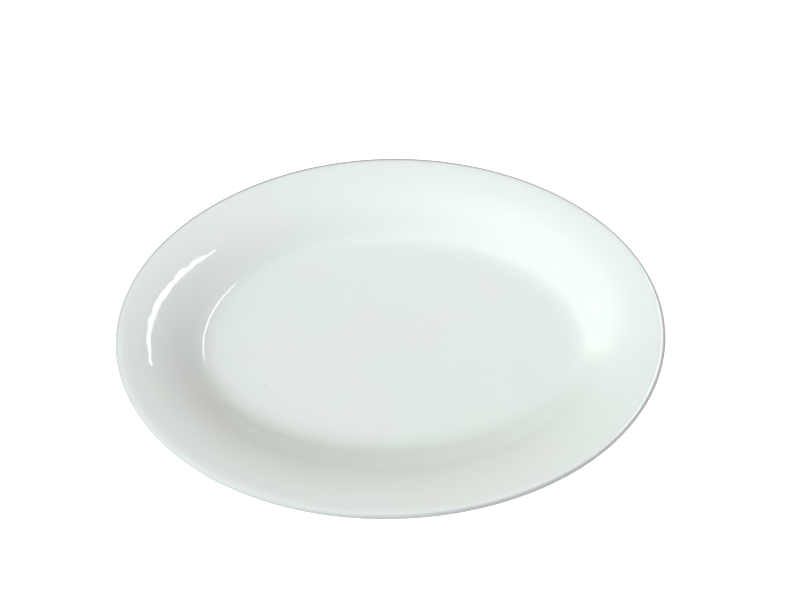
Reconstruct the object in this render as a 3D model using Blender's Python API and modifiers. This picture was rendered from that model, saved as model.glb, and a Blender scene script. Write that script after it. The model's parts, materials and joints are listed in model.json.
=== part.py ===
"""Oval china serving platter: a well with a wide sloping rim, on a foot ring.

Run it with blender --background --python part.py, or from Blender's text editor.
Units are metres and +Z is up. The origin is the middle of the foot ring's bearing face, which is
what the platter stands on, and the long axis lies along X.

The platter is one piece of ware, made of three bodies of material. porcelain_body is the clay,
which is shaped and fired first. It is then dipped in glaze, and the foot is wiped clean before the
second firing, so that the ware can't stick to the kiln shelf. The bare foot parts the glaze into
two skins that never meet: table_glaze runs over the food side, round the lip and down to the foot,
and base_glaze covers the recess inside the foot.

Every body is turned as a round blank, as on a jigger, and then drawn in to an oval. The long axis
keeps the blank's section, and the sides keep the same section at a smaller radius.
"""

import math

import bmesh
import bpy

MM = 0.001

# Overall sizes, over the glaze
LENGTH = 305 * MM
WIDTH = 221 * MM
HEIGHT = 30.2 * MM

# The glaze, and the hairline that keeps its solid clear of the clay's
GLAZE = 0.30 * MM
HAIRLINE = 0.03 * MM
COAT = GLAZE + HAIRLINE

# Food side of the clay, from the middle outwards. Every angle is a slope above the horizontal.
FLOOR_HEIGHT = 8.3 * MM
FLOOR_RADIUS = 96.5 * MM
FLOOR_EDGE_RADIUS = 80 * MM
FLOOR_EDGE_ANGLE = math.radians(4)
WELL_RADIUS = 20 * MM
WALL_ANGLE = math.radians(36)
SHOULDER_RADIUS = 64 * MM
RIM_ANGLE = math.radians(14)
ROLL_RADIUS = 14 * MM
LIP_RADIUS = 1.9 * MM

# Underside of the clay, from the lip inwards
UNDER_RIM = 7 * MM
UNDER_SHOULDER_RADIUS = 56 * MM
UNDER_WALL_HEIGHT = 9.6 * MM
UNDER_WELL_RADIUS = 25 * MM
UNDER_WELL_ANGLE = math.radians(15)

# Foot ring
FOOT_BLEND_RADIUS = 4 * MM
FOOT_DRAFT = math.radians(10)
FOOT_EDGE_RADIUS = 0.9 * MM
FOOT_FACE = 2.4 * MM
RECESS_RADIUS = 2 * MM
RECESS_HEIGHT = 3.3 * MM
WIPED_HEIGHT = 1.3 * MM

# Facets
AROUND = 56
DEGREES_PER_FACET = 8
LIP_DEGREES_PER_FACET = 30
FOOT_DEGREES_PER_FACET = 33
MERGE = 0.001 * MM
SHARP_ANGLE = math.radians(40)

HALF_TURN = math.pi
QUARTER_TURN = math.pi / 2


class Outline:
    """A chain of straight runs and arcs, in the plane of radius and height.

    Each run or arc starts where the last one ended, in the direction it pointed. The heading is the
    angle above outwards, and it falls as the outline goes over the lip and back under the platter.
    The outside of the material is always on the left.
    """

    def __init__(self, radius, height):
        self.heading = 0.0
        self.stations = []
        self._mark(radius, height)

    def _mark(self, radius, height):
        self.radius = radius
        self.height = height
        self.stations.append((radius, height, self.heading))

    def run(self, length):
        radius = self.radius + length * math.cos(self.heading)
        self._mark(radius, self.height + length * math.sin(self.heading))

    def run_to_height(self, height):
        self.run((height - self.height) / math.sin(self.heading))

    def run_to_axis(self):
        self.run(-self.radius / math.cos(self.heading))

    def turn(self, radius, heading, degrees_per_facet=DEGREES_PER_FACET):
        """An arc that ends at this heading, bending to whichever side is nearer."""
        start = self.heading
        swing = heading - start
        side = math.copysign(radius, swing)
        centre_radius = self.radius - side * math.sin(start)
        centre_height = self.height + side * math.cos(start)
        facets = math.ceil(abs(math.degrees(swing)) / degrees_per_facet)
        for facet in range(1, facets + 1):
            self.heading = start + swing * facet / facets
            self._mark(
                centre_radius + side * math.sin(self.heading),
                centre_height - side * math.cos(self.heading),
            )

    def drop_of_turn(self, radius, heading):
        """How far below its start an arc that bends to the right would end."""
        return radius * (math.cos(self.heading) - math.cos(heading))


def wall_and_rim_lengths():
    """The straight wall and rim that make up what the food side's arcs leave of its size."""
    reach = LENGTH / 2 - COAT - LIP_RADIUS - FLOOR_RADIUS
    reach -= FLOOR_EDGE_RADIUS * math.sin(FLOOR_EDGE_ANGLE)
    reach -= WELL_RADIUS * (math.sin(WALL_ANGLE) - math.sin(FLOOR_EDGE_ANGLE))
    reach -= SHOULDER_RADIUS * (math.sin(WALL_ANGLE) - math.sin(RIM_ANGLE))
    reach -= ROLL_RADIUS * math.sin(RIM_ANGLE)
    rise = HEIGHT - COAT - FLOOR_HEIGHT
    rise -= FLOOR_EDGE_RADIUS * (1 - math.cos(FLOOR_EDGE_ANGLE))
    rise -= WELL_RADIUS * (math.cos(FLOOR_EDGE_ANGLE) - math.cos(WALL_ANGLE))
    rise -= SHOULDER_RADIUS * (math.cos(RIM_ANGLE) - math.cos(WALL_ANGLE))
    rise -= ROLL_RADIUS * (1 - math.cos(RIM_ANGLE))
    spread = math.sin(WALL_ANGLE - RIM_ANGLE)
    wall = (rise * math.cos(RIM_ANGLE) - reach * math.sin(RIM_ANGLE)) / spread
    rim = (reach * math.sin(WALL_ANGLE) - rise * math.cos(WALL_ANGLE)) / spread
    return wall, rim


def draw_food_side(outline):
    wall, rim = wall_and_rim_lengths()
    outline.run(FLOOR_RADIUS)
    outline.turn(FLOOR_EDGE_RADIUS, FLOOR_EDGE_ANGLE)
    outline.turn(WELL_RADIUS, WALL_ANGLE)
    outline.run(wall)
    outline.turn(SHOULDER_RADIUS, RIM_ANGLE)
    outline.run(rim)
    outline.turn(ROLL_RADIUS, 0.0)
    outline.turn(LIP_RADIUS, -QUARTER_TURN, LIP_DEGREES_PER_FACET)
    outline.turn(LIP_RADIUS, RIM_ANGLE - HALF_TURN, LIP_DEGREES_PER_FACET)


def draw_underside(outline):
    outline.run(UNDER_RIM)
    outline.turn(UNDER_SHOULDER_RADIUS, WALL_ANGLE - HALF_TURN)
    outline.run_to_height(UNDER_WALL_HEIGHT)
    outline.turn(UNDER_WELL_RADIUS, UNDER_WELL_ANGLE - HALF_TURN)
    outline.turn(FOOT_BLEND_RADIUS, -QUARTER_TURN - FOOT_DRAFT, FOOT_DEGREES_PER_FACET)
    outline.run_to_height(WIPED_HEIGHT)


def draw_bare_foot(outline):
    outline.run_to_height(outline.drop_of_turn(FOOT_EDGE_RADIUS, -HALF_TURN))
    outline.turn(FOOT_EDGE_RADIUS, -HALF_TURN, FOOT_DEGREES_PER_FACET)
    outline.run(FOOT_FACE)
    outline.turn(FOOT_EDGE_RADIUS, -HALF_TURN - QUARTER_TURN + FOOT_DRAFT, FOOT_DEGREES_PER_FACET)
    outline.run_to_height(WIPED_HEIGHT)


def draw_recess(outline):
    blend_rise = -outline.drop_of_turn(RECESS_RADIUS, -HALF_TURN)
    outline.run_to_height(RECESS_HEIGHT + blend_rise)
    outline.turn(RECESS_RADIUS, -HALF_TURN, FOOT_DEGREES_PER_FACET)
    outline.run_to_axis()


def clay_section():
    """The clay's half section as stations, and the two between which the foot is bare of glaze."""
    outline = Outline(0.0, FLOOR_HEIGHT)
    draw_food_side(outline)
    draw_underside(outline)
    table_end = len(outline.stations)
    draw_bare_foot(outline)
    base_start = len(outline.stations) - 1
    draw_recess(outline)
    return outline.stations, table_end, base_start


def raised(stations, distance):
    """Points that stand this far out from the clay's surface."""
    return [
        (radius - distance * math.sin(heading), height + distance * math.cos(heading))
        for radius, height, heading in stations
    ]


def glaze_faces(stations):
    """The free face of the glaze over these stations, and the face towards the clay."""
    return raised(stations, COAT), raised(stations, HAIRLINE)


def oval_radii(radius):
    """Half length and half width of the oval that a circle on the round blank becomes."""
    side_cut = (LENGTH - WIDTH) / 2
    if radius > FLOOR_RADIUS:
        return radius, radius - side_cut
    return radius, radius * (FLOOR_RADIUS - side_cut) / FLOOR_RADIUS


def draw_in_to_oval(mesh):
    """Drawing in warps the facets, so each is cut the short way, which keeps the glaze off the clay."""
    oval = bmesh.new()
    oval.from_mesh(mesh)
    for vertex in oval.verts:
        x, y, _ = vertex.co
        radius = math.hypot(x, y)
        if radius > MERGE:
            half_length, half_width = oval_radii(radius)
            vertex.co.x = x * half_length / radius
            vertex.co.y = y * half_width / radius
    bmesh.ops.triangulate(oval, faces=oval.faces, quad_method="SHORT_EDGE")
    oval.to_mesh(mesh)
    oval.free()


def glazed_china():
    return principled("glazed_china", (0.86, 0.90, 0.88), roughness=0.08)


def bare_china():
    return principled("bare_china", (0.80, 0.77, 0.71), roughness=0.65)


def principled(name, colour, roughness):
    material = bpy.data.materials.new(name)
    material.use_nodes = True
    shader = material.node_tree.nodes["Principled BSDF"]
    shader.inputs["Base Color"].default_value = (*colour, 1.0)
    shader.inputs["Roughness"].default_value = roughness
    shader.inputs["Metallic"].default_value = 0.0
    return material


def round_blank(name, points):
    """A half section that starts and ends on the axis, turned about Z, as an evaluated mesh."""
    edges = [(i, i + 1) for i in range(len(points) - 1)]
    profile = bpy.data.meshes.new(name + "_profile")
    profile.from_pydata([(radius, 0.0, height) for radius, height in points], edges, [])
    turned = bpy.data.objects.new(name + "_profile", profile)
    bpy.context.scene.collection.objects.link(turned)
    screw = turned.modifiers.new("turn", "SCREW")
    screw.axis = "Z"
    screw.steps = AROUND
    screw.render_steps = AROUND
    screw.use_merge_vertices = True
    screw.merge_threshold = MERGE
    depsgraph = bpy.context.evaluated_depsgraph_get()
    mesh = bpy.data.meshes.new_from_object(turned.evaluated_get(depsgraph))
    bpy.data.objects.remove(turned)
    bpy.data.meshes.remove(profile)
    return mesh


def oval_body(name, points, material, collection):
    mesh = round_blank(name, points)
    mesh.name = name
    draw_in_to_oval(mesh)
    mesh.shade_smooth()
    mesh.set_sharp_from_angle(angle=SHARP_ANGLE)
    mesh.materials.clear()
    mesh.materials.append(material)
    collection.objects.link(bpy.data.objects.new(name, mesh))


def porcelain_body(stations, material, collection):
    oval_body("porcelain_body", raised(stations, 0.0), material, collection)


def table_glaze(stations, material, collection):
    """From the axis out to the foot over the free face, and back along the clay."""
    free, bonded = glaze_faces(stations)
    oval_body("table_glaze", free + bonded[::-1], material, collection)


def base_glaze(stations, material, collection):
    """From the axis out to the foot along the clay, and back over the free face."""
    free, bonded = glaze_faces(stations)
    oval_body("base_glaze", bonded[::-1] + free, material, collection)


def clear_scene():
    for old in list(bpy.data.objects):
        bpy.data.objects.remove(old)


def main():
    clear_scene()
    platter = bpy.data.collections.new("china_serving_platter")
    bpy.context.scene.collection.children.link(platter)
    glaze = glazed_china()
    stations, table_end, base_start = clay_section()
    porcelain_body(stations, bare_china(), platter)
    table_glaze(stations[:table_end], glaze, platter)
    base_glaze(stations[base_start:], glaze, platter)


main()
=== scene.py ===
"""The looks of the oval china serving platter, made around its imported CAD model.

The frame holds the platter's three solids: porcelain_body, table_glaze and base_glaze. Each is
replaced by a finer one of the same size, with the small unevenness that fired ware has, and gets a
node material. Units are metres, +Z is up, and the origin is the middle of the foot ring.
"""

import json
import math

import bpy
import numpy as np
from mathutils import Matrix, Vector


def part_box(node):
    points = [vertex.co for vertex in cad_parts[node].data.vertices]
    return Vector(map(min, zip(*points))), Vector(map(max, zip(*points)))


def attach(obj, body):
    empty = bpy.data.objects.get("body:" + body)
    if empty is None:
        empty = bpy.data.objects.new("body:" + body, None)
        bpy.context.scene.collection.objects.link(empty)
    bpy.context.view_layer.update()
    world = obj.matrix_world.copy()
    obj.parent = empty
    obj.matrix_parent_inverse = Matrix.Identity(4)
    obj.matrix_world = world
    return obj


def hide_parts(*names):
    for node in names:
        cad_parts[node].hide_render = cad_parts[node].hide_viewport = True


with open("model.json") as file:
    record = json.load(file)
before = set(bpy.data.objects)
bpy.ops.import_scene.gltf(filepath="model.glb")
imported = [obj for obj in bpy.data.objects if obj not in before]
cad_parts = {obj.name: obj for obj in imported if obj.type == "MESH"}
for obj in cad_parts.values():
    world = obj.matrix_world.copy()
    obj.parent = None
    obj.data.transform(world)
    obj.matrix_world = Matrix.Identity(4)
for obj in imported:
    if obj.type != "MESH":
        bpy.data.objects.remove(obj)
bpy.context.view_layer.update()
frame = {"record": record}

MM = 0.001
FULL_TURN = 2 * math.pi
HALF_TURN = math.pi
QUARTER_TURN = math.pi / 2
EIGHTH_TURN = math.pi / 4

# Sizes that the frame gives. The coat is the glaze with the hairline under it.
MOUNTS = {mount["name"]: mount for mount in frame["record"]["mounts"]}
GLAZE_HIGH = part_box("table_glaze")[1]
CLAY_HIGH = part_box("porcelain_body")[1]
COAT = GLAZE_HIGH.x - CLAY_HIGH.x
CLAY_REACH = CLAY_HIGH.x
CLAY_HEIGHT = CLAY_HIGH.z
SIDE_CUT = CLAY_HIGH.x - CLAY_HIGH.y
FLOOR_HEIGHT = MOUNTS["well_floor"]["pos_m"][2] - COAT

# The clay's section, from the floor out over the lip and back in to the recess inside the foot.
# Angles are slopes above the horizontal.
HAIRLINE = 0.03 * MM
RECESS_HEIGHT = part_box("base_glaze")[1].z + HAIRLINE
FLOOR_RADIUS = 96.5 * MM
FLOOR_EDGE_RADIUS = 80 * MM
FLOOR_EDGE_ANGLE = math.radians(4)
WELL_RADIUS = 20 * MM
WALL_ANGLE = math.radians(36)
SHOULDER_RADIUS = 64 * MM
RIM_ANGLE = math.radians(14)
ROLL_RADIUS = 5.5 * MM
CROWN_RADIUS = 10 * MM
CROWN_ANGLE = math.radians(8)
LIP_RADIUS = 1.2 * MM
LIP_ANGLE = math.radians(75)
UNDER_LIP_RADIUS = 2.25 * MM
UNDER_RIM = 7 * MM
UNDER_SHOULDER_RADIUS = 56 * MM
UNDER_WALL_HEIGHT = 9.6 * MM
UNDER_WELL_RADIUS = 25 * MM
UNDER_WELL_ANGLE = math.radians(15)
FOOT_BLEND_RADIUS = 4 * MM
FOOT_DRAFT = math.radians(10)
FOOT_EDGE_RADIUS = 0.9 * MM
FOOT_FACE = 2.4 * MM
RECESS_RADIUS = 2 * MM
WIPED_HEIGHT = 1.3 * MM

# How far the lip is out of true, as firing leaves it: its two ends along Y, and the four stretches
# between its ends and its sides along X and Y
LEAN_OF_ENDS = -1.2 * MM
LEAN_BETWEEN = (0.25 * MM, -0.3 * MM)

# How far each side of a change of slope the section is softened, on top, underneath and at the lip
# and the foot, and the distances beyond a mark between which that changes
SOFT_TOP = 3 * MM
SOFT_UNDER = 2 * MM
SOFT_EDGE = 0.15 * MM
SOFTENING = (
    ("top", -2 * MM, SOFT_TOP),
    ("top", 0.0, SOFT_EDGE),
    ("lip", 3 * MM, SOFT_EDGE),
    ("lip", 8 * MM, SOFT_UNDER),
    ("table_end", -8 * MM, SOFT_UNDER),
    ("table_end", -4 * MM, SOFT_EDGE),
)

# The marks whose places set the platter's size
SIZE_MARKS = ("floor", "top", "lip", "foot_outside", "foot_inside", "recess")

# Unevenness of the glaze's free face: wavelength, height and seed of each kind, each a sum of waves
# of nearly that wavelength
UNEVENNESS = (
    (46 * MM, 0.028 * MM, 11),
    (17 * MM, 0.009 * MM, 12),
    (8 * MM, 0.013 * MM, 14),
)
WAVES_PER_KIND = 24
WAVELENGTH_SPREAD = (0.75, 1.3)

# Shares along the section, each as a mark, a distance beyond it and the share there. The glaze is
# uneven except at the lip and the foot, and pools where the wall meets the floor.
TABLE_UNEVEN = (
    ("floor", 0.0, 0.3),
    ("wall", 2 * MM, 0.3),
    ("wall", 10 * MM, 1.0),
    ("roll", 0.0, 1.0),
    ("top", 0.0, 0.0),
    ("under_rim", 0.0, 0.0),
    ("under_wall", 0.0, 0.7),
    ("table_end", 0.0, 0.0),
)
BASE_UNEVEN = (("base_start", 0.0, 0.0), ("recess", 0.0, 0.5))
EVEN = (("floor", 0.0, 0.0),)
POOL = (("floor", 2 * MM, 0.0), ("fillet", 3 * MM, 1.0), ("wall", 4 * MM, 0.0))

# Slopes between which a painted shade darkens the glaze over the lip's outer roll, standing in for
# the shade and dark reflections there, from none to all and back to none
LIP_SHADE_FROM = math.radians(-2)
LIP_SHADE_FULL = math.radians(-14)
LIP_SHADE_EASE = math.radians(-82)
LIP_SHADE_END = math.radians(-120)

# How strong the painted shade is round the lip, darkest where the lip gets least light: the least,
# what is added towards one side, and what is added at both ends of one line across the platter
LEAST_LIP_SHADE = 0.15
LIP_SHADE_SIDE_SHARE = 0.55
DARKEST_LIP_SIDE = math.radians(75)
LIP_SHADE_LINE_SHARE = 0.35
DARKEST_LIP_LINE = math.radians(120)

# Fineness of the meshes: cells across the floor, and distances between rings of points
FLOOR_CELLS = 96
TOP_SPACING = 1.5 * MM
UNDER_SPACING = 3 * MM
FOOT_SPACING = 0.7 * MM
EDGE_SPACING = 0.35 * MM
TRACE_STEP = 0.02 * MM

# Edges that bend more than this are drawn sharp
SHARP_ANGLE = math.radians(50)


class Outline:
    """The clay's half section as straight runs and arcs: heading against distance along it.

    It starts on the axis on top of the floor, goes out over the lip and comes back underneath. The
    heading is the angle above outwards, so it falls by half a turn on the way round the lip.
    """

    def __init__(self, height):
        self.radius = 0.0
        self.height = height
        self.heading = 0.0
        self.distance = 0.0
        self.knots = [(0.0, 0.0, 0.0, height)]
        self.stations = [0.0]
        self.marks = {}

    def _advance(self, length, heading, radius, height, spacing):
        segments = max(1, round(length / spacing))
        for segment in range(1, segments + 1):
            self.stations.append(self.distance + length * segment / segments)
        self.distance += length
        self.radius = radius
        self.height = height
        self.heading = heading
        self.knots.append((self.distance, heading, radius, height))

    def mark(self, name):
        """Names the last station."""
        self.marks[name] = len(self.stations) - 1

    def run(self, length, spacing):
        radius = self.radius + length * math.cos(self.heading)
        height = self.height + length * math.sin(self.heading)
        self._advance(length, self.heading, radius, height, spacing)

    def run_to_height(self, height, spacing):
        self.run((height - self.height) / math.sin(self.heading), spacing)

    def turn(self, radius, heading, spacing):
        """An arc that ends at this heading, bending to whichever side is nearer."""
        side = math.copysign(radius, heading - self.heading)
        out = self.radius + side * (math.sin(heading) - math.sin(self.heading))
        up = self.height - side * (math.cos(heading) - math.cos(self.heading))
        self._advance(radius * abs(heading - self.heading), heading, out, up, spacing)

    def drop_of_turn(self, radius, heading):
        """How far below its start an arc that bends to the right would end."""
        return radius * (math.cos(self.heading) - math.cos(heading))


def wall_and_rim_lengths():
    """The straight wall and rim that make up what the food side's arcs leave of its size.

    Their slopes are known, so the reach and the rise that are left give their two lengths.
    """
    reach = CLAY_REACH - FLOOR_RADIUS
    reach -= CROWN_RADIUS * math.sin(CROWN_ANGLE)
    reach -= LIP_RADIUS * (math.sin(LIP_ANGLE) - math.sin(CROWN_ANGLE))
    reach -= UNDER_LIP_RADIUS * (1 - math.sin(LIP_ANGLE))
    reach -= FLOOR_EDGE_RADIUS * math.sin(FLOOR_EDGE_ANGLE)
    reach -= WELL_RADIUS * (math.sin(WALL_ANGLE) - math.sin(FLOOR_EDGE_ANGLE))
    reach -= SHOULDER_RADIUS * (math.sin(WALL_ANGLE) - math.sin(RIM_ANGLE))
    reach -= ROLL_RADIUS * math.sin(RIM_ANGLE)
    rise = CLAY_HEIGHT - FLOOR_HEIGHT
    rise -= FLOOR_EDGE_RADIUS * (1 - math.cos(FLOOR_EDGE_ANGLE))
    rise -= WELL_RADIUS * (math.cos(FLOOR_EDGE_ANGLE) - math.cos(WALL_ANGLE))
    rise -= SHOULDER_RADIUS * (math.cos(RIM_ANGLE) - math.cos(WALL_ANGLE))
    rise -= ROLL_RADIUS * (1 - math.cos(RIM_ANGLE))
    spread = math.sin(WALL_ANGLE - RIM_ANGLE)
    wall = (rise * math.cos(RIM_ANGLE) - reach * math.sin(RIM_ANGLE)) / spread
    rim = (reach * math.sin(WALL_ANGLE) - rise * math.cos(WALL_ANGLE)) / spread
    return wall, rim


def draw_food_side(outline):
    wall, rim = wall_and_rim_lengths()
    outline.run(FLOOR_RADIUS, FLOOR_RADIUS)
    outline.mark("floor")
    outline.turn(FLOOR_EDGE_RADIUS, FLOOR_EDGE_ANGLE, TOP_SPACING)
    outline.mark("fillet")
    outline.turn(WELL_RADIUS, WALL_ANGLE, TOP_SPACING)
    outline.mark("wall")
    outline.run(wall, TOP_SPACING)
    outline.turn(SHOULDER_RADIUS, RIM_ANGLE, TOP_SPACING)
    outline.run(rim, TOP_SPACING)
    outline.mark("roll")
    outline.turn(ROLL_RADIUS, 0.0, EDGE_SPACING)
    outline.mark("top")
    outline.turn(CROWN_RADIUS, -CROWN_ANGLE, EDGE_SPACING)
    outline.turn(LIP_RADIUS, -LIP_ANGLE, EDGE_SPACING)
    outline.turn(UNDER_LIP_RADIUS, -QUARTER_TURN, EDGE_SPACING)
    outline.mark("lip")
    outline.turn(UNDER_LIP_RADIUS, RIM_ANGLE - HALF_TURN, EDGE_SPACING)
    outline.mark("under_rim")


def draw_underside(outline):
    outline.run(UNDER_RIM, UNDER_SPACING)
    outline.turn(UNDER_SHOULDER_RADIUS, WALL_ANGLE - HALF_TURN, UNDER_SPACING)
    outline.mark("under_wall")
    outline.run_to_height(UNDER_WALL_HEIGHT, UNDER_SPACING)
    outline.turn(UNDER_WELL_RADIUS, UNDER_WELL_ANGLE - HALF_TURN, UNDER_SPACING)
    outline.turn(FOOT_BLEND_RADIUS, -QUARTER_TURN - FOOT_DRAFT, FOOT_SPACING)
    outline.run_to_height(WIPED_HEIGHT, FOOT_SPACING)
    outline.mark("table_end")


def draw_bare_foot(outline):
    outline.run_to_height(outline.drop_of_turn(FOOT_EDGE_RADIUS, -HALF_TURN), EDGE_SPACING)
    outline.turn(FOOT_EDGE_RADIUS, -HALF_TURN, EDGE_SPACING)
    outline.mark("foot_outside")
    outline.run(FOOT_FACE, FOOT_SPACING)
    outline.mark("foot_inside")
    outline.turn(FOOT_EDGE_RADIUS, -HALF_TURN - QUARTER_TURN + FOOT_DRAFT, EDGE_SPACING)
    outline.run_to_height(WIPED_HEIGHT, EDGE_SPACING)
    outline.mark("base_start")


def draw_recess(outline):
    blend_rise = -outline.drop_of_turn(RECESS_RADIUS, -HALF_TURN)
    outline.run_to_height(RECESS_HEIGHT + blend_rise, EDGE_SPACING)
    outline.turn(RECESS_RADIUS, -HALF_TURN, EDGE_SPACING)
    outline.run(outline.radius - FLOOR_RADIUS, UNDER_SPACING)
    outline.mark("recess")


def draw_clay():
    outline = Outline(FLOOR_HEIGHT)
    draw_food_side(outline)
    draw_underside(outline)
    draw_bare_foot(outline)
    draw_recess(outline)
    return outline


def running_sum(values):
    """The integral of values that hold over one trace step each, from nothing."""
    return np.concatenate([[0.0], np.cumsum(values) * TRACE_STEP])


def softened_section(outline):
    """Radius, height and heading at each station, with every change of slope eased in and out.

    The heading at a point is the mean of the designed headings around it. Easing moves the section
    by a few hundredths of a millimetre, so the points that set the platter's size are put back.
    """
    distance, heading, radius, height = np.array(outline.knots).T
    stations = np.array(outline.stations)
    at = {name: stations[index] for name, index in outline.marks.items()}
    trace = np.arange(0.0, distance[-1] + TRACE_STEP, TRACE_STEP)
    designed = np.interp(trace, distance, heading)
    turned = running_sum((designed[1:] + designed[:-1]) / 2)
    places = [at[name] + offset for name, offset, _ in SOFTENING]
    reach = np.interp(trace, places, [soft for _, _, soft in SOFTENING])
    low = np.clip(trace - reach, 0.0, trace[-1])
    high = np.clip(trace + reach, 0.0, trace[-1])
    eased = (np.interp(high, trace, turned) - np.interp(low, trace, turned)) / (high - low)
    middle = (eased[1:] + eased[:-1]) / 2
    out = running_sum(np.cos(middle))
    up = FLOOR_HEIGHT + running_sum(np.sin(middle))
    fixed = [0.0] + [at[name] for name in SIZE_MARKS]
    lost_out = np.interp(fixed, distance, radius) - np.interp(fixed, trace, out)
    lost_up = np.interp(fixed, distance, height) - np.interp(fixed, trace, up)
    out += np.interp(trace, fixed, lost_out)
    up += np.interp(trace, fixed, lost_up)
    out = np.minimum(out, CLAY_REACH)
    up = np.clip(up, 0.0, CLAY_HEIGHT)
    return [np.interp(stations, trace, values) for values in (out, up, eased)]


OUTLINE = draw_clay()
RADII, HEIGHTS, HEADINGS = softened_section(OUTLINE)


def shares_along(table):
    """The share at every station, straight between the places in the table."""
    stations = np.array(OUTLINE.stations)
    places = [stations[OUTLINE.marks[name]] + beyond for name, beyond, _ in table]
    return np.interp(stations, places, [share for _, _, share in table])


def lip_shade_shares():
    """How much of the painted shade over the lip's outer roll there is at every station."""
    lip_shade = np.interp(HEADINGS, [LIP_SHADE_END, LIP_SHADE_EASE, LIP_SHADE_FULL, LIP_SHADE_FROM], [0.0, 1.0, 1.0, 0.0])
    lip_shade[OUTLINE.marks["under_rim"]:] = 0.0
    return lip_shade


POOLED = shares_along(POOL)
LIP_SHADED = lip_shade_shares()


def rings(first, last, distance, uneven):
    """Radius, height, heading and shares of unevenness, pool and painted lip shade between two
    marks.
    """
    chosen = slice(OUTLINE.marks[first], OUTLINE.marks[last] + 1)
    radius = RADII[chosen] - distance * np.sin(HEADINGS[chosen])
    height = HEIGHTS[chosen] + distance * np.cos(HEADINGS[chosen])
    shares = [every[chosen] for every in (shares_along(uneven), POOLED, LIP_SHADED)]
    return np.stack([radius, height, HEADINGS[chosen], *shares], 1)


def unevenness(x, y):
    """How far the glaze's free face stands off its mean there, as a sum of plane waves."""
    total = np.zeros_like(x)
    for wavelength, height, seed in UNEVENNESS:
        draw = np.random.default_rng(seed)
        for _ in range(WAVES_PER_KIND):
            heading = draw.uniform(0.0, FULL_TURN)
            length = wavelength * draw.uniform(*WAVELENGTH_SPREAD)
            phase = draw.uniform(0.0, FULL_TURN)
            along = x * math.cos(heading) + y * math.sin(heading)
            share = height * math.sqrt(2 / WAVES_PER_KIND)
            total += share * np.cos(FULL_TURN * along / length + phase)
    return total


def oval(radius, angle):
    """Plan positions on the oval that a circle of this radius is drawn in to.

    What the width lacks of the length is all taken off inside the floor, so the wall, the rim and
    the foot are as wide at the sides as at the ends. The lip's lean grows from the floor outwards.
    """
    side_share = np.minimum(radius / FLOOR_RADIUS, 1.0) * SIDE_CUT
    beyond_floor = np.maximum(radius - FLOOR_RADIUS, 0.0) / (CLAY_REACH - FLOOR_RADIUS)
    ends = beyond_floor * np.cos(angle) ** 2
    between = beyond_floor * np.sin(2 * angle) ** 2
    x = radius * np.cos(angle) + LEAN_BETWEEN[0] * between
    y = (radius - side_share) * np.sin(angle) + LEAN_BETWEEN[1] * between
    return x, y + LEAN_OF_ENDS * ends


def uneven_points(ring, share_of_radius, angles):
    """Points at these shares of a ring's radius, stood off by the unevenness there."""
    radius, height, heading, uneven = ring[:4]
    radii = radius * share_of_radius
    offset = uneven * unevenness(*oval(radii, angles))
    x, y = oval(radii - offset * math.sin(heading), angles)
    z = np.minimum(height + offset * math.cos(heading), GLAZE_HIGH.z)
    return np.stack([x, y, z], 1)


def lip_shade_round(angles):
    """How much of the full painted shade over the lip there is at each angle round it, most where
    the lip gets least light.
    """
    side = (1 + np.cos(angles - DARKEST_LIP_SIDE)) / 2
    line = np.cos(angles - DARKEST_LIP_LINE) ** 2
    return LEAST_LIP_SHADE + LIP_SHADE_SIDE_SHARE * side + LIP_SHADE_LINE_SHARE * line


def disc_grid():
    """Square cells wrapped on to a round floor: each corner's share of its radius, and its angle."""
    lines = np.linspace(-1.0, 1.0, FLOOR_CELLS + 1)
    a, b = np.meshgrid(lines, lines, indexing="ij")
    wide = np.abs(a) >= np.abs(b)
    share = np.where(wide, a, b)
    safe = np.where(share == 0.0, 1.0, share)
    angle = np.where(wide, EIGHTH_TURN * b / safe, QUARTER_TURN - EIGHTH_TURN * a / safe)
    return share.ravel(), angle.ravel()


def grid_indices():
    return np.arange((FLOOR_CELLS + 1) ** 2).reshape(FLOOR_CELLS + 1, FLOOR_CELLS + 1)


def grid_edge():
    """The corners round the edge of the floor's grid, anticlockwise from its first spoke."""
    index = grid_indices()
    sides = (index[-1, :], index[::-1, -1], index[0, ::-1], index[:, 0])
    return np.concatenate([side[:-1] for side in sides])


def grid_faces(first, upward):
    """The floor's cells, for a grid whose corners start at this point of the mesh."""
    index = first + grid_indices()
    corners = (index[:-1, :-1], index[1:, :-1], index[1:, 1:], index[:-1, 1:])
    faces = np.stack([corner.ravel() for corner in corners], 1)
    return faces if upward else faces[:, ::-1]


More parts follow.
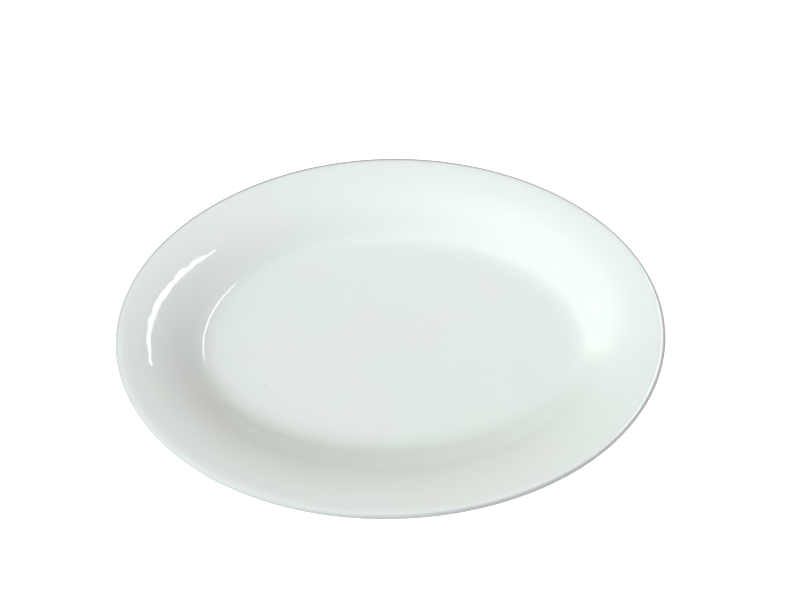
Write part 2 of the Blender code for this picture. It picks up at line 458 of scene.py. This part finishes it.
def closed_solid(name, section):
    """A solid between two floors: the first ring bounds the upper one, the last the lower one."""
    spokes = 4 * FLOOR_CELLS
    angles = -EIGHTH_TURN + np.arange(spokes) * FULL_TURN / spokes
    share, angle = disc_grid()
    floor_size = len(share)
    points = [uneven_points(section[0], share, angle), uneven_points(section[-1], share, angle)]
    shares = [np.tile(section[0, 4:], (floor_size, 1)), np.tile(section[-1, 4:], (floor_size, 1))]
    for ring in section[1:-1]:
        points.append(uneven_points(ring, np.ones(spokes), angles))
        # Each ring's pool share, and its share of the painted lip shade, which changes round the lip
        pool, lip_shade = ring[4:]
        shares.append(np.stack([np.full(spokes, pool), lip_shade * lip_shade_round(angles)], 1))
    loops = [grid_edge()]
    for ring in range(len(section) - 2):
        loops.append(2 * floor_size + ring * spokes + np.arange(spokes))
    loops.append(floor_size + grid_edge())
    faces = [grid_faces(0, True), grid_faces(floor_size, False)]
    for upper, lower in zip(loops, loops[1:]):
        faces.append(np.stack([upper, lower, np.roll(lower, -1), np.roll(upper, -1)], 1))
    mesh = bpy.data.meshes.new(name)
    mesh.from_pydata(np.concatenate(points).tolist(), [], np.concatenate(faces).tolist())
    mesh.shade_smooth()
    mesh.set_sharp_from_angle(angle=SHARP_ANGLE)
    for label, values in zip(("pool", "lip_shade"), np.concatenate(shares).T):
        attribute = mesh.attributes.new(label, "FLOAT", "POINT")
        attribute.data.foreach_set("value", np.ascontiguousarray(values, np.float32))
    solid = bpy.data.objects.new(name, mesh)
    bpy.context.scene.collection.objects.link(solid)
    return solid


def glazed_table_side():
    free = rings("floor", "table_end", COAT, TABLE_UNEVEN)
    bonded = rings("floor", "table_end", HAIRLINE, EVEN)
    return closed_solid("glazed_table_side", np.concatenate([free, bonded[::-1]]))


def glazed_base():
    bonded = rings("base_start", "recess", HAIRLINE, EVEN)
    free = rings("base_start", "recess", COAT, BASE_UNEVEN)
    return closed_solid("glazed_base", np.concatenate([bonded[::-1], free]))


def china_body():
    return closed_solid("china_body", rings("floor", "recess", 0.0, EVEN))


# Materials

GLAZE_COLOUR = (0.80, 0.84, 0.82)
GLAZE_CLOUD_COLOUR = (0.795, 0.845, 0.815)
POOL_COLOUR = (0.785, 0.84, 0.81)
# Colour of the painted shade on the lip's outer roll
LIP_SHADE_COLOUR = (0.32, 0.29, 0.34)
GLAZE_IOR = 1.5
CLOUD_SIZE = 40 * MM
CLOUD_LIMITS = (0.35, 0.65)
GLOSS_SIZE = 25 * MM
GLOSS_LIMITS = (0.3, 0.7)
GLAZE_ROUGHNESS = (0.035, 0.055)
RIPPLE_SIZE = 6 * MM
RIPPLE_HEIGHT = 0.05 * MM

# Iron specks and pinholes under the glaze: X, Y and half width in millimetres, and how dark
SPECKS = (
    (-70.9, -26.6, 0.8, 0.34),
    (-121.0, -31.7, 0.7, 0.08),
    (4.3, 101.9, 0.7, 0.08),
    (18.2, 61.5, 1.0, 0.06),
    (107.3, 54.5, 0.7, 0.06),
    (31.0, -88.0, 0.4, 0.07),
    (-22.0, 12.0, 0.35, 0.05),
    (64.0, 19.0, 0.4, 0.05),
)
SPECK_COLOUR = (0.30, 0.27, 0.23)
SPECK_CORE = 0.3

BARE_COLOUR = (0.74, 0.69, 0.61)
BARE_STAIN_COLOUR = (0.60, 0.54, 0.46)
STAIN_SIZE = 9 * MM
STAIN_LIMITS = (0.45, 0.75)
GRAIN_SIZE = 0.5 * MM
GRAIN_LIMITS = (0.3, 0.7)
GRAIN_HEIGHT = 0.03 * MM
BARE_ROUGHNESS = (0.6, 0.8)
BARE_DETAIL = 3.0

# A mix node's sockets for colours
MIX_FIRST = 6
MIX_SECOND = 7
MIX_RESULT = 2


class Nodes:
    """A material's node tree, with a method for each kind of node that is used more than once."""

    def __init__(self, tree):
        self.tree = tree

    def new(self, kind, **properties):
        node = self.tree.nodes.new(kind)
        for name, value in properties.items():
            setattr(node, name, value)
        return node

    def feed(self, socket, value):
        if isinstance(value, bpy.types.NodeSocket):
            self.tree.links.new(value, socket)
        else:
            socket.default_value = value

    def math(self, operation, first, second=0.0):
        node = self.new("ShaderNodeMath", operation=operation)
        self.feed(node.inputs[0], first)
        self.feed(node.inputs[1], second)
        return node.outputs[0]

    def vector_math(self, operation, first, second, output="Vector"):
        node = self.new("ShaderNodeVectorMath", operation=operation)
        self.feed(node.inputs[0], first)
        self.feed(node.inputs[1], second)
        return node.outputs[output]

    def ramp(self, value, low, high, start=0.0, end=1.0):
        """A smooth step from start to end as the value goes from low to high."""
        node = self.new("ShaderNodeMapRange", interpolation_type="SMOOTHSTEP")
        self.feed(node.inputs["Value"], value)
        self.feed(node.inputs["From Min"], low)
        self.feed(node.inputs["From Max"], high)
        self.feed(node.inputs["To Min"], start)
        self.feed(node.inputs["To Max"], end)
        return node.outputs["Result"]

    def noise(self, position, size, detail=2.0):
        node = self.new("ShaderNodeTexNoise")
        self.feed(node.inputs["Vector"], position)
        self.feed(node.inputs["Scale"], 1 / size)
        self.feed(node.inputs["Detail"], detail)
        return node.outputs["Fac"]

    def attribute(self, name):
        return self.new("ShaderNodeAttribute", attribute_name=name).outputs["Fac"]

    def mix(self, factor, first, second):
        node = self.new("ShaderNodeMix", data_type="RGBA")
        self.feed(node.inputs["Factor"], factor)
        for socket, colour in ((MIX_FIRST, first), (MIX_SECOND, second)):
            linked = isinstance(colour, bpy.types.NodeSocket)
            self.feed(node.inputs[socket], colour if linked else (*colour, 1.0))
        return node.outputs[MIX_RESULT]

    def bump(self, height, distance):
        node = self.new("ShaderNodeBump")
        self.feed(node.inputs["Strength"], 1.0)
        self.feed(node.inputs["Distance"], distance)
        self.feed(node.inputs["Height"], height)
        return node.outputs["Normal"]


def new_material(name):
    material = bpy.data.materials.new(name)
    material.use_nodes = True
    nodes = Nodes(material.node_tree)
    return material, nodes, material.node_tree.nodes["Principled BSDF"].inputs


def glazed_china():
    material, nodes, shader = new_material("glazed_china")
    place = nodes.new("ShaderNodeTexCoord").outputs["Object"]
    clouds = nodes.ramp(nodes.noise(place, CLOUD_SIZE), *CLOUD_LIMITS)
    colour = nodes.mix(clouds, GLAZE_COLOUR, GLAZE_CLOUD_COLOUR)
    colour = nodes.mix(nodes.attribute("pool"), colour, POOL_COLOUR)
    # Painted shade: the lip's outer roll is darkened to mauve-grey where it turns from the light and
    # mirrors dark surroundings
    colour = nodes.mix(nodes.attribute("lip_shade"), colour, LIP_SHADE_COLOUR)
    plan = nodes.vector_math("MULTIPLY", place, (1.0, 1.0, 0.0))
    for x, y, half_width, darkness in SPECKS:
        away = nodes.vector_math("DISTANCE", plan, (x * MM, y * MM, 0.0), "Value")
        edge = half_width * MM
        spot = nodes.ramp(away, SPECK_CORE * edge, edge, darkness, 0.0)
        colour = nodes.mix(spot, colour, SPECK_COLOUR)
    nodes.feed(shader["Base Color"], colour)
    gloss = nodes.ramp(nodes.noise(place, GLOSS_SIZE), *GLOSS_LIMITS, *GLAZE_ROUGHNESS)
    nodes.feed(shader["Roughness"], gloss)
    ripple = nodes.noise(place, RIPPLE_SIZE, detail=0.0)
    nodes.feed(shader["Normal"], nodes.bump(ripple, RIPPLE_HEIGHT))
    nodes.feed(shader["IOR"], GLAZE_IOR)
    return material


def bare_china():
    material, nodes, shader = new_material("bare_china")
    place = nodes.new("ShaderNodeTexCoord").outputs["Object"]
    stains = nodes.ramp(nodes.noise(place, STAIN_SIZE, BARE_DETAIL), *STAIN_LIMITS)
    nodes.feed(shader["Base Color"], nodes.mix(stains, BARE_COLOUR, BARE_STAIN_COLOUR))
    grain = nodes.noise(place, GRAIN_SIZE, BARE_DETAIL)
    nodes.feed(shader["Roughness"], nodes.ramp(grain, *GRAIN_LIMITS, *BARE_ROUGHNESS))
    nodes.feed(shader["Normal"], nodes.bump(grain, GRAIN_HEIGHT))
    return material


def dress(piece, node, material):
    """Makes the piece stand for a CAD node, with this material."""
    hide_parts(node)
    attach(piece, "root")
    piece.data.materials.append(material)


glaze = glazed_china()
dress(glazed_table_side(), "table_glaze", glaze)
dress(glazed_base(), "base_glaze", glaze)
dress(china_body(), "porcelain_body", bare_china())


# Light: a few broad soft sources all round, as lobes of the surroundings, and one long thin lamp
# overhead, along the platter's short axis, which makes the two bright arcs and the line on the lip

AMBIENT = (0.08, 0.08, 0.08)
SOFT_SOURCES = (
    # azimuth and elevation in degrees, sharpness, colour
    (211.2, 29.3, 16.0, (1.48, 1.72, 1.80)),
    (334.4, 4.9, 16.0, (2.70, 2.50, 2.85)),
    (165.0, 33.8, 16.0, (2.10, 2.20, 2.14)),
    (232.8, 57.0, 8.33, (2.31, 2.42, 2.39)),
    (65.6, 20.0, 5.0, (0.20, 0.11, 0.05)),
    (77.0, 78.9, 16.0, (0.25, 0.19, 0.19)),
    (143.0, 23.0, 90.0, (2.05, 2.15, 1.75)),
)
BACKDROP = (1.0, 1.0, 1.0)

LAMP_HEIGHT = 1.5
LAMP_OUT = 0.685
LAMP_NEAR_END = -0.31
LAMP_FAR_END = 1.24
LAMP_WIDTH = 0.15
LAMP_RADIANCE = 9.0

# The table is just under the foot ring's face. Its glow is only for the camera, which sees it pale.
TABLE_SIZE = 8.0
TABLE_LEVEL = -0.05 * MM
TABLE_COLOUR = (0.78, 0.77, 0.79)
TABLE_ROUGHNESS = 0.8
TABLE_GLOW = 0.75


def direction(azimuth, elevation):
    turn = math.radians(azimuth)
    lift = math.radians(elevation)
    return (math.cos(lift) * math.cos(turn), math.cos(lift) * math.sin(turn), math.sin(lift))


def surroundings():
    """Lights the platter with the soft sources, and shows the camera a plain backdrop."""
    world = bpy.data.worlds.new("surroundings")
    world.use_nodes = True
    nodes = Nodes(world.node_tree)
    background = world.node_tree.nodes["Background"]
    ray = nodes.new("ShaderNodeTexCoord").outputs["Generated"]
    total = AMBIENT
    for azimuth, elevation, sharpness, colour in SOFT_SOURCES:
        towards = nodes.vector_math("DOT_PRODUCT", ray, direction(azimuth, elevation), "Value")
        falloff = nodes.math("MULTIPLY", nodes.math("SUBTRACT", towards, 1.0), sharpness)
        lobe = nodes.math("EXPONENT", falloff)
        scaled = nodes.new("ShaderNodeVectorMath", operation="SCALE")
        nodes.feed(scaled.inputs[0], colour)
        nodes.feed(scaled.inputs["Scale"], lobe)
        total = nodes.vector_math("ADD", scaled.outputs[0], total)
    seen = nodes.new("ShaderNodeLightPath").outputs["Is Camera Ray"]
    nodes.feed(background.inputs["Color"], nodes.mix(seen, total, BACKDROP))
    bpy.context.scene.world = world


def overhead_lamp():
    """The long thin lamp. Its light isn't bounced on, so its arcs aren't mirrored a second time."""
    length = LAMP_FAR_END - LAMP_NEAR_END
    area = math.pi / 4 * LAMP_WIDTH * length
    light = bpy.data.lights.new("overhead_lamp", "AREA")
    light.shape = "ELLIPSE"
    light.size = LAMP_WIDTH
    light.size_y = length
    light.energy = LAMP_RADIANCE * math.pi * area
    light.cycles.max_bounces = 0
    lamp = bpy.data.objects.new("overhead_lamp", light)
    lamp.location = (LAMP_OUT, (LAMP_NEAR_END + LAMP_FAR_END) / 2, LAMP_HEIGHT)
    lamp.rotation_euler = (0.0, math.atan2(LAMP_OUT, LAMP_HEIGHT), 0.0)
    bpy.context.scene.collection.objects.link(lamp)


def table():
    half = TABLE_SIZE / 2
    mesh = bpy.data.meshes.new("table")
    corners = [(-half, -half), (half, -half), (half, half), (-half, half)]
    mesh.from_pydata([(x, y, TABLE_LEVEL) for x, y in corners], [], [(0, 1, 2, 3)])
    top = bpy.data.objects.new("table", mesh)
    bpy.context.scene.collection.objects.link(top)
    material, nodes, shader = new_material("table")
    nodes.feed(shader["Base Color"], (*TABLE_COLOUR, 1.0))
    nodes.feed(shader["Roughness"], TABLE_ROUGHNESS)
    nodes.feed(shader["Specular IOR Level"], 0.0)
    seen = nodes.new("ShaderNodeLightPath").outputs["Is Camera Ray"]
    nodes.feed(shader["Emission Color"], (1.0, 1.0, 1.0, 1.0))
    nodes.feed(shader["Emission Strength"], nodes.math("MULTIPLY", seen, TABLE_GLOW))
    mesh.materials.append(material)


surroundings()
overhead_lamp()
table()
bpy.context.scene.view_settings.view_transform = "Standard"


# Camera

CAMERA_PLACE = Vector((0.0, -0.2791, 0.60477))
CAMERA_AIM = Vector((0.00555, 0.03005, 0.0))
CAMERA_ROLL = math.radians(-0.316)
CAMERA_LENS = 51.815
SENSOR_WIDTH = 36.0


def camera():
    """Aims the camera, with its horizon turned by the roll."""
    view = (CAMERA_AIM - CAMERA_PLACE).normalized()
    level = view.cross(Vector((0, 0, 1))).normalized()
    upright = level.cross(view)
    right = level * math.cos(CAMERA_ROLL) + upright * math.sin(CAMERA_ROLL)
    up = upright * math.cos(CAMERA_ROLL) - level * math.sin(CAMERA_ROLL)
    lens = bpy.data.cameras.new("camera")
    lens.lens = CAMERA_LENS
    lens.sensor_width = SENSOR_WIDTH
    holder = bpy.data.objects.new("camera", lens)
    turned = Matrix((right, up, -view)).transposed().to_4x4()
    holder.matrix_world = Matrix.Translation(CAMERA_PLACE) @ turned
    bpy.context.scene.collection.objects.link(holder)
    bpy.context.scene.camera = holder


camera()
